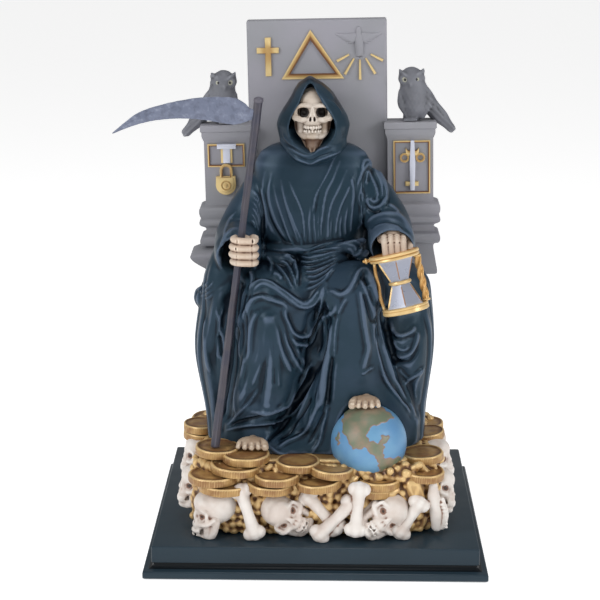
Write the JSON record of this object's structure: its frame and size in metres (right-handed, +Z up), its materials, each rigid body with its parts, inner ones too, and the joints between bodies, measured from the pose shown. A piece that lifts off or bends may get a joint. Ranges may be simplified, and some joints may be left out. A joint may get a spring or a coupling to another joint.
{
  "type": "santa muerte figure",
  "caption": "Seated hooded skeleton in a draped robe on a stone throne with owls, holding scythe and hourglass, foot on a globe, over a mound of coins and bones on a stepped plinth.",
  "frame": {"origin": "centre of the plinth's underside", "axes": "+Z up, the figure faces -Y, +X towards its left hand"},
  "size_m": [0.2192, 0.181, 0.3114],
  "materials": {
    "plinth_lacquer": "satin",
    "coin_gold": "antiqued gold paint",
    "throne_grey": "matt paint",
    "robe": "satin",
    "globe_blue": "satin",
    "hourglass_gold": "antiqued gold paint",
    "blade_steel_paint": "satin metallic paint",
    "owl_grey": "matt paint"
  },
  "bodies": {
    "root": {"plinth": "plinth_lacquer", "mound": "coin_gold", "throne": "throne_grey", "figure": "robe", "globe": "globe_blue", "hourglass": "hourglass_gold", "scythe": "blade_steel_paint", "owl_left": "owl_grey", "owl_right": "owl_grey"}
  },
  "joints": []
}
